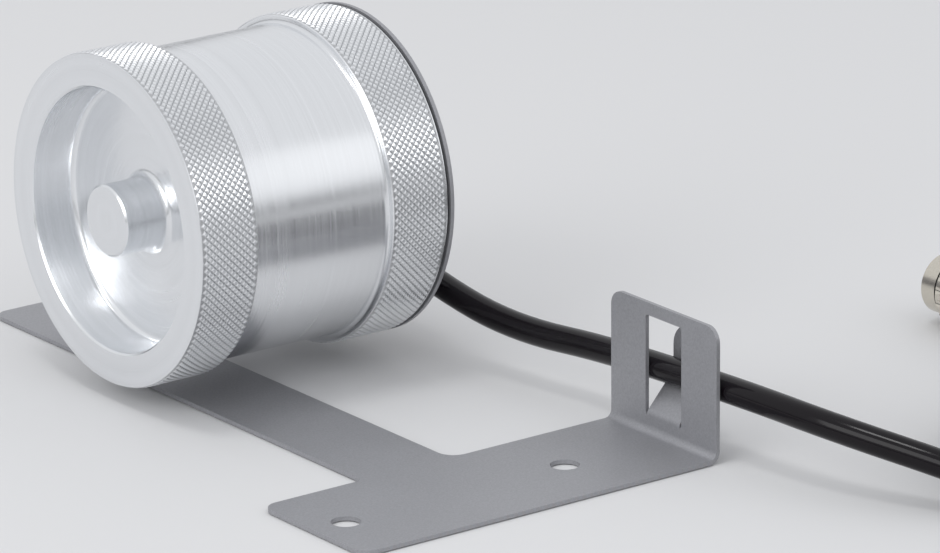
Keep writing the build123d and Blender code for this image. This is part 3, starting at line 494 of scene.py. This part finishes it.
class ENCODER_OT_wheel(bpy.types.Operator):
    """Turned measuring wheel with two diamond-knurled rings"""

    bl_idname = "encoder.wheel"
    bl_label = "Measuring wheel"

    def ring_of(self, mesh, x, radius, columns):
        """A circle of vertices about the wheel's axis."""
        return [
            mesh.verts.new((x, AXIS.y + radius * cos(turn), AXIS.z + radius * sin(turn)))
            for turn in (tau * step / columns for step in range(columns))
        ]

    def skin(self, mesh, near, far):
        """Faces between two circles, or between a circle and a centre vertex."""
        count = len(near) if len(near) > 1 else len(far)
        for step in range(count):
            after = (step + 1) % count
            if len(near) == 1:
                mesh.faces.new((near[0], far[after], far[step]))
            elif len(far) == 1:
                mesh.faces.new((near[step], near[after], far[0]))
            else:
                mesh.faces.new((near[step], near[after], far[after], far[step]))

    def lathe(self, mesh, profile, columns):
        """Turn an open profile of (x, radius) points. Gives its first and last circles."""
        circles = []
        for x, radius in profile:
            if radius == 0.0:
                circles.append([mesh.verts.new((x, AXIS.y, AXIS.z))])
            else:
                circles.append(self.ring_of(mesh, x, radius, columns))
        for near, far in zip(circles, circles[1:]):
            self.skin(mesh, near, far)
        return circles[0], circles[-1]

    def knurl(self, mesh, near, far, sizes):
        """Flat-topped diamonds between two circles that lie at the bottom of the grooves."""
        columns = 2 * sizes.knurl_columns
        rows = sizes.knurl_rows
        x_near = near[0].co.x
        x_far = far[0].co.x
        ground = WHEEL_RADIUS - sizes.knurl_depth
        grid = [near]
        for row in range(1, rows):
            x = x_near + (x_far - x_near) * row / rows
            grid.append(self.ring_of(mesh, x, ground, columns))
        grid.append(far)
        faces = []
        for row in range(1, rows):
            for column in range(columns):
                if (row + column) % 2 == 0:
                    continue
                tip = grid[row][column]
                around = [
                    grid[row - 1][column],
                    grid[row][(column + 1) % columns],
                    grid[row + 1][column],
                    grid[row][column - 1],
                ]
                turn = tau * column / columns
                outward = Vector((0.0, cos(turn), sin(turn)))
                top = Vector((tip.co.x, AXIS.y, AXIS.z)) + outward * WHEEL_RADIUS
                tops = []
                for corner in around:
                    low = corner.co + outward * sizes.knurl_depth
                    tops.append(mesh.verts.new(top.lerp(low, sizes.knurl_flat)))
                faces.append(mesh.faces.new(tops))
                for side in range(4):
                    after = (side + 1) % 4
                    faces.append(mesh.faces.new((around[side], around[after], tops[after], tops[side])))
                mesh.verts.remove(tip)
        for row, inner in ((0, 1), (rows, rows - 1)):
            for column in range(columns):
                if (row + column) % 2 == 1:
                    before = grid[row][column - 1]
                    after = grid[row][(column + 1) % columns]
                    faces.append(mesh.faces.new((before, grid[row][column], grid[inner][column])))
                    faces.append(mesh.faces.new((grid[row][column], after, grid[inner][column])))
        for face in faces:
            face.material_index = 1

    def execute(self, context):
        sizes = context.scene.encoder_wheel
        columns = 2 * sizes.knurl_columns
        ground = WHEEL_RADIUS - sizes.knurl_depth
        floor = WHEEL_FRONT + sizes.recess_depth
        back = floor + sizes.web
        seat_end = back - sizes.seat_length
        front_ring = WHEEL_FRONT + sizes.ring_width
        rear_ring = WHEEL_REAR - sizes.ring_width
        boss = sizes.boss_radius
        recess = sizes.recess_radius
        drum_rise = sizes.drum_radius + DRUM_FILLET
        rim = WHEEL_RADIUS - RING_CHAMFER
        bevel = CHAMFER_SLOPE * RING_CHAMFER
        front_face = [
            (WHEEL_FRONT, 0.0),
            (WHEEL_FRONT, boss - BOSS_CHAMFER),
            (WHEEL_FRONT + BOSS_CHAMFER, boss),
            *arc((floor - BOSS_FILLET, boss + BOSS_FILLET), BOSS_FILLET, 270, 360),
            *arc((floor - RECESS_FILLET, recess - RECESS_FILLET), RECESS_FILLET, 0, 90),
            (WHEEL_FRONT + BOSS_CHAMFER, recess),
            (WHEEL_FRONT, recess + BOSS_CHAMFER),
            (WHEEL_FRONT, rim),
            (WHEEL_FRONT + bevel, ground),
        ]
        drum = [
            (front_ring - bevel, ground),
            (front_ring, rim - INNER_EDGE_DROP),
            *arc((front_ring + DRUM_FILLET, drum_rise), DRUM_FILLET, 180, 270),
            *arc((rear_ring - DRUM_FILLET, drum_rise), DRUM_FILLET, 270, 360),
            (rear_ring, rim - INNER_EDGE_DROP),
            (rear_ring + bevel, ground),
        ]
        hollow = [
            (WHEEL_REAR - bevel, ground),
            (WHEEL_REAR, rim),
            (WHEEL_REAR, sizes.bore_radius),
            *arc((back + RECESS_FILLET, sizes.bore_radius - RECESS_FILLET), RECESS_FILLET, 90, 180),
            (back, sizes.seat_radius),
            (seat_end, sizes.seat_radius),
            (seat_end, 0.0),
        ]
        mesh = bmesh.new()
        _, front_end = self.lathe(mesh, front_face, columns)
        drum_start, drum_end = self.lathe(mesh, drum, columns)
        hollow_start, _ = self.lathe(mesh, hollow, columns)
        self.knurl(mesh, front_end, drum_start, sizes)
        self.knurl(mesh, drum_end, hollow_start, sizes)
        bmesh.ops.recalc_face_normals(mesh, faces=mesh.faces)
        wheel = finished(mesh, "wheel")
        smooth_by_angle(wheel, 24.0)
        colour = context.scene.encoder_finishes.wheel
        wheel.materials.append(turned_aluminium(colour))
        wheel.materials.append(knurled_aluminium(colour, sizes.knurl_depth))
        piece = place_new("knurled_wheel", wheel)
        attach(piece, "wheel")
        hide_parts("measuring_wheel")
        return {"FINISHED"}


class ENCODER_OT_bracket(bpy.types.Operator):
    """Bead-blasted bracket sheet, closed across the line that the arm flexes about"""

    bl_idname = "encoder.bracket"
    bl_label = "Sheet bracket"

    def execute(self, context):
        material = blasted_sheet(context.scene.encoder_finishes.sheet)
        dress(material, "bracket_base", "spring_arm")
        _, bar_end = (Vector(corner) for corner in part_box("bracket_base"))
        arm_start, _ = (Vector(corner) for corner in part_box("spring_arm"))
        near = Vector((arm_start.x, bar_end.y, 0.0))
        far = Vector((arm_start.x + ARM_WIDTH, arm_start.y, SHEET))
        joint = bmesh.new()
        bmesh.ops.create_cube(joint, size=1.0)
        bmesh.ops.scale(joint, vec=far - near, verts=joint.verts)
        bmesh.ops.translate(joint, vec=(near + far) / 2, verts=joint.verts)
        strip = finished(joint, "flex_line")
        strip.materials.append(material)
        piece = place_new("flex_line", strip)
        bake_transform(piece)
        return {"FINISHED"}


class ENCODER_OT_cable(bpy.types.Operator):
    """Round cable from the outlet through the clip to its coil and plug"""

    bl_idname = "encoder.cable"
    bl_label = "Cable"

    def coil_points(self, sizes):
        """Turns of the coil, inward and outward by turns as it rises, and the tail to the plug."""
        radius = sizes.radius / MM
        centre_x = COIL_ENTRY[0] - COIL_HEADING[1] * COIL_OUTER_TURN
        centre_y = COIL_ENTRY[1] + COIL_HEADING[0] * COIL_OUTER_TURN
        start = atan2(-COIL_HEADING[0], COIL_HEADING[1])
        end = radians(COIL_EXIT_ANGLE)
        turns = COIL_WHOLE_TURNS + (end - start) / tau
        layer_turns = turns / COIL_LAYERS
        steps = round(turns * sizes.points_a_turn)
        slack = 1 / cos(pi / sizes.points_a_turn)
        points = []
        for step in range(steps + 1):
            wound = turns * step / steps
            layer = min(int(wound / layer_turns), COIL_LAYERS - 1)
            along = wound - layer * layer_turns
            inward = along if layer % 2 == 0 else layer_turns - along
            climb = 0.0
            if layer > 0:
                climb -= max(0.0, 0.5 - along / CLIMB_TURNS)
            if layer < COIL_LAYERS - 1:
                climb += max(0.0, 0.5 - (layer_turns - along) / CLIMB_TURNS)
            reach = (COIL_OUTER_TURN - 2 * radius * inward) * slack
            height = radius * (1 + 2 * (layer + climb))
            turn = start + tau * wound
            points.append((centre_x + reach * cos(turn), centre_y + reach * sin(turn), height))
        exit_x = centre_x + COIL_OUTER_TURN * cos(end)
        exit_y = centre_y + COIL_OUTER_TURN * sin(end)
        return points + [(exit_x + x, exit_y + y, PLUG_AXIS_Z) for x, y in TAIL_RUNS]

    def centreline(self, points):
        """Points along the smooth spline that has these control points, in metres."""
        curve = bpy.data.curves.new("cable_route", "CURVE")
        curve.dimensions = "3D"
        curve.resolution_u = 6
        spline = curve.splines.new("NURBS")
        spline.points.add(len(points) - 1)
        for knot, point in zip(spline.points, points):
            knot.co = (*mm(point), 1.0)
        spline.order_u = 3
        spline.use_endpoint_u = True
        route = bpy.data.objects.new("cable_route", curve)
        line = bpy.data.meshes.new_from_object(route)
        path = [vertex.co.copy() for vertex in line.vertices]
        bpy.data.objects.remove(route)
        bpy.data.meshes.remove(line)
        return path

    def tube(self, path, radius, sides):
        """A round tube along the path, its section carried without twist, with closed ends."""
        mesh = bmesh.new()
        side = Vector((0.0, 0.0, 1.0))
        rings = []
        for index, point in enumerate(path):
            ahead = path[min(index + 1, len(path) - 1)] - path[max(index - 1, 0)]
            ahead.normalize()
            side = (side - ahead * side.dot(ahead)).normalized()
            across = ahead.cross(side)
            rings.append(
                [
                    mesh.verts.new(point + (side * cos(turn) + across * sin(turn)) * radius)
                    for turn in (tau * step / sides for step in range(sides))
                ]
            )
        for near, far in zip(rings, rings[1:]):
            for step in range(sides):
                after = (step + 1) % sides
                mesh.faces.new((near[step], near[after], far[after], far[step]))
        mesh.faces.new(rings[0][::-1])
        mesh.faces.new(rings[-1])
        bmesh.ops.recalc_face_normals(mesh, faces=mesh.faces)
        tube = finished(mesh, "cable")
        smooth_by_angle(tube, 50.0)
        return tube

    def execute(self, context):
        sizes = context.scene.encoder_cable
        path = self.centreline(LEAD_ROUTE + FLOOR_ROUTE + self.coil_points(sizes))
        mesh = self.tube(path, sizes.radius, sizes.sides)
        mesh.materials.append(cable_jacket(context.scene.encoder_finishes.cable))
        cable = place_new("cable", mesh)
        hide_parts("encoder_lead", "cable_run", "cable_coil", "cable_tail")
        mm((45.2, 66.0, 14.3))
        mm((51.15, 22.0, 11.7))
        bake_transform(cable)
        return {"FINISHED"}


class ENCODER_OT_encoder(bpy.types.Operator):
    """Finishes of the housing, the bearings, the board and the cable outlet"""

    bl_idname = "encoder.encoder"
    bl_label = "Encoder inside the wheel"

    def execute(self, context):
        ground = plain_metal("Ground bearing steel", (0.72, 0.73, 0.75), 0.14)
        dress(
            ground,
            "front_bearing_inner_race",
            "front_bearing_outer_race",
            "front_bearing_balls",
            "rear_bearing_inner_race",
            "rear_bearing_outer_race",
            "rear_bearing_balls",
        )
        dark = plain_metal("Phosphated spring steel", (0.16, 0.155, 0.15), 0.38)
        dress(
            dark,
            "front_bearing_shields",
            "rear_bearing_shields",
            "spring_washer",
            "housing_circlip",
            "shaft_circlip",
            "hub_grub_screw",
        )
        stainless = plain_metal("Turned stainless", (0.62, 0.62, 0.63), 0.24)
        dress(stainless, "encoder_shaft", "inner_race_sleeve")
        anodised = plain_metal("Clear anodised aluminium", (0.58, 0.59, 0.60), 0.36)
        dress(anodised, "encoder_housing", "housing_cover", "code_disc_hub")
        zinc = plain_metal("Zinc plated steel", (0.66, 0.67, 0.69), 0.28)
        dress(zinc, "cover_screws", "plate_screws", "board_screws", "outlet_screws")
        nylon = moulded("Glass-filled nylon", (0.42, 0.34, 0.21), 0.5)
        dress(nylon, "front_bearing_cage", "rear_bearing_cage")
        dress(moulded("Nitrile rubber", (0.018, 0.018, 0.02), 0.55), "shaft_seal", "gland_seal")
        dress(moulded("Gasket rubber", (0.045, 0.045, 0.05), 0.65), "cover_gasket")
        dress(code_glass((0.72, 0.78, 0.80)), "code_disc")
        dress(circuit_board((0.012, 0.12, 0.045)), "sensor_board")
        dress(moulded("Chip epoxy", (0.02, 0.02, 0.02), 0.4, 3000.0), "optical_sensor")
        dress(moulded("Cream nylon", (0.78, 0.75, 0.66), 0.45), "board_socket")
        dress(plain_metal("Black anodised aluminium", (0.035, 0.035, 0.037), 0.36), "cable_outlet")
        brass = plain_metal("Nickel plated brass", (0.68, 0.64, 0.56), 0.22)
        dress(brass, "board_posts", "gland_nut")
        return {"FINISHED"}


class ENCODER_OT_plug(bpy.types.Operator):
    """Finishes of the round plug at the cable's end"""

    bl_idname = "encoder.plug"
    bl_label = "Plug"

    def execute(self, context):
        black = moulded("Moulded plug", (0.02, 0.02, 0.022), 0.42)
        dress(black, "plug_strain_relief", "plug_grip", "plug_insert")
        dress(plain_metal("Plug ring", (0.68, 0.64, 0.56), 0.20), "coupling_nut")
        dress(moulded("Plug seal", (0.02, 0.02, 0.02), 0.5), "plug_seal_ring")
        dress(plain_metal("Gold pins", (0.90, 0.66, 0.26), 0.16), "plug_pins")
        return {"FINISHED"}


class ENCODER_OT_stage(bpy.types.Operator):
    """Pale floor, soft boxes and the camera"""

    bl_idname = "encoder.stage"
    bl_label = "Studio"

    def soft_box(self, name, place, size, power):
        """An area lamp that is aimed at the wheel."""
        lamp = bpy.data.lights.new(name, "AREA")
        lamp.shape = "RECTANGLE"
        lamp.size, lamp.size_y = size
        lamp.energy = power
        box = place_new(name, lamp)
        box.location = place
        box.rotation_euler = (AXIS - Vector(place)).to_track_quat("-Z", "Y").to_euler()

    def sky(self, scene):
        """White studio walls over a narrow grey skirting."""
        scene.world = bpy.data.worlds.new("studio")
        walls = Nodes(scene.world, "Background")
        direction = walls.node("ShaderNodeTexCoord")[SKY_DIRECTION]
        _, _, height = walls.node("ShaderNodeSeparateXYZ", inputs={0: direction})
        walls.set("Color", walls.node("ShaderNodeValToRGB", {"stops": SKY}, {0: height})[0])

    def camera(self, scene):
        """The camera that was fitted to the photo."""
        lens = bpy.data.cameras.new("camera")
        lens.sensor_width = SENSOR_WIDTH
        lens.lens = SENSOR_WIDTH * FOCAL_PIXELS / PHOTO_WIDTH_PIXELS
        lens.clip_start = 0.05
        lens.clip_end = 20.0
        camera = place_new("camera", lens)
        right = Vector(CAMERA_RIGHT)
        up = Vector(CAMERA_UP)
        turn = Matrix((right, up, right.cross(up))).transposed()
        camera.matrix_world = Matrix.Translation(mm(CAMERA_PLACE)) @ turn.to_4x4()
        scene.camera = camera

    def execute(self, context):
        scene = context.scene
        ground = bmesh.new()
        bmesh.ops.create_grid(ground, x_segments=1, y_segments=1, size=6.0)
        sheet = finished(ground, "floor")
        finish = Finish("Studio floor", scene.encoder_finishes.floor, 0.85)
        point, _ = finish.place()
        finish.set("Roughness", finish.noise(point, waves=40.0) * 0.1 + 0.8)
        sheet.materials.append(finish.material)
        floor = place_new("floor", sheet)
        floor.location.z = -FLOOR_GAP
        scene.view_settings.view_transform = "Standard"
        self.sky(scene)
        for lamp in LAMPS:
            self.soft_box(*lamp)
        self.camera(scene)
        return {"FINISHED"}


PIECES = [
    ENCODER_OT_wheel,
    ENCODER_OT_bracket,
    ENCODER_OT_encoder,
    ENCODER_OT_plug,
    ENCODER_OT_cable,
    ENCODER_OT_stage,
]


class ENCODER_PT_panel(bpy.types.Panel):
    """Sizes, finishes and pieces of the measuring wheel encoder"""

    bl_label = "Measuring wheel encoder"
    bl_idname = "ENCODER_PT_panel"
    bl_space_type = "VIEW_3D"
    bl_region_type = "UI"
    bl_category = "Encoder"

    def draw(self, context):
        for group in (
            context.scene.encoder_wheel,
            context.scene.encoder_cable,
            context.scene.encoder_finishes,
        ):
            column = self.layout.column(align=True)
            for name in group.bl_rna.properties.keys():
                if name not in ("rna_type", "name"):
                    column.prop(group, name)
        for piece in PIECES:
            self.layout.operator(piece.bl_idname)


CLASSES = [WheelSizes, CableSizes, Finishes, *PIECES, ENCODER_PT_panel]


def register():
    for entry in CLASSES:
        bpy.utils.register_class(entry)
    bpy.types.Scene.encoder_wheel = bpy.props.PointerProperty(type=WheelSizes)
    bpy.types.Scene.encoder_cable = bpy.props.PointerProperty(type=CableSizes)
    bpy.types.Scene.encoder_finishes = bpy.props.PointerProperty(type=Finishes)


def unregister():
    del bpy.types.Scene.encoder_finishes
    del bpy.types.Scene.encoder_cable
    del bpy.types.Scene.encoder_wheel
    for entry in reversed(CLASSES):
        bpy.utils.unregister_class(entry)


def main():
    register()
    bpy.ops.encoder.wheel()
    bpy.ops.encoder.bracket()
    bpy.ops.encoder.encoder()
    bpy.ops.encoder.plug()
    bpy.ops.encoder.cable()
    bpy.ops.encoder.stage()


if __name__ == "__main__":
    main()
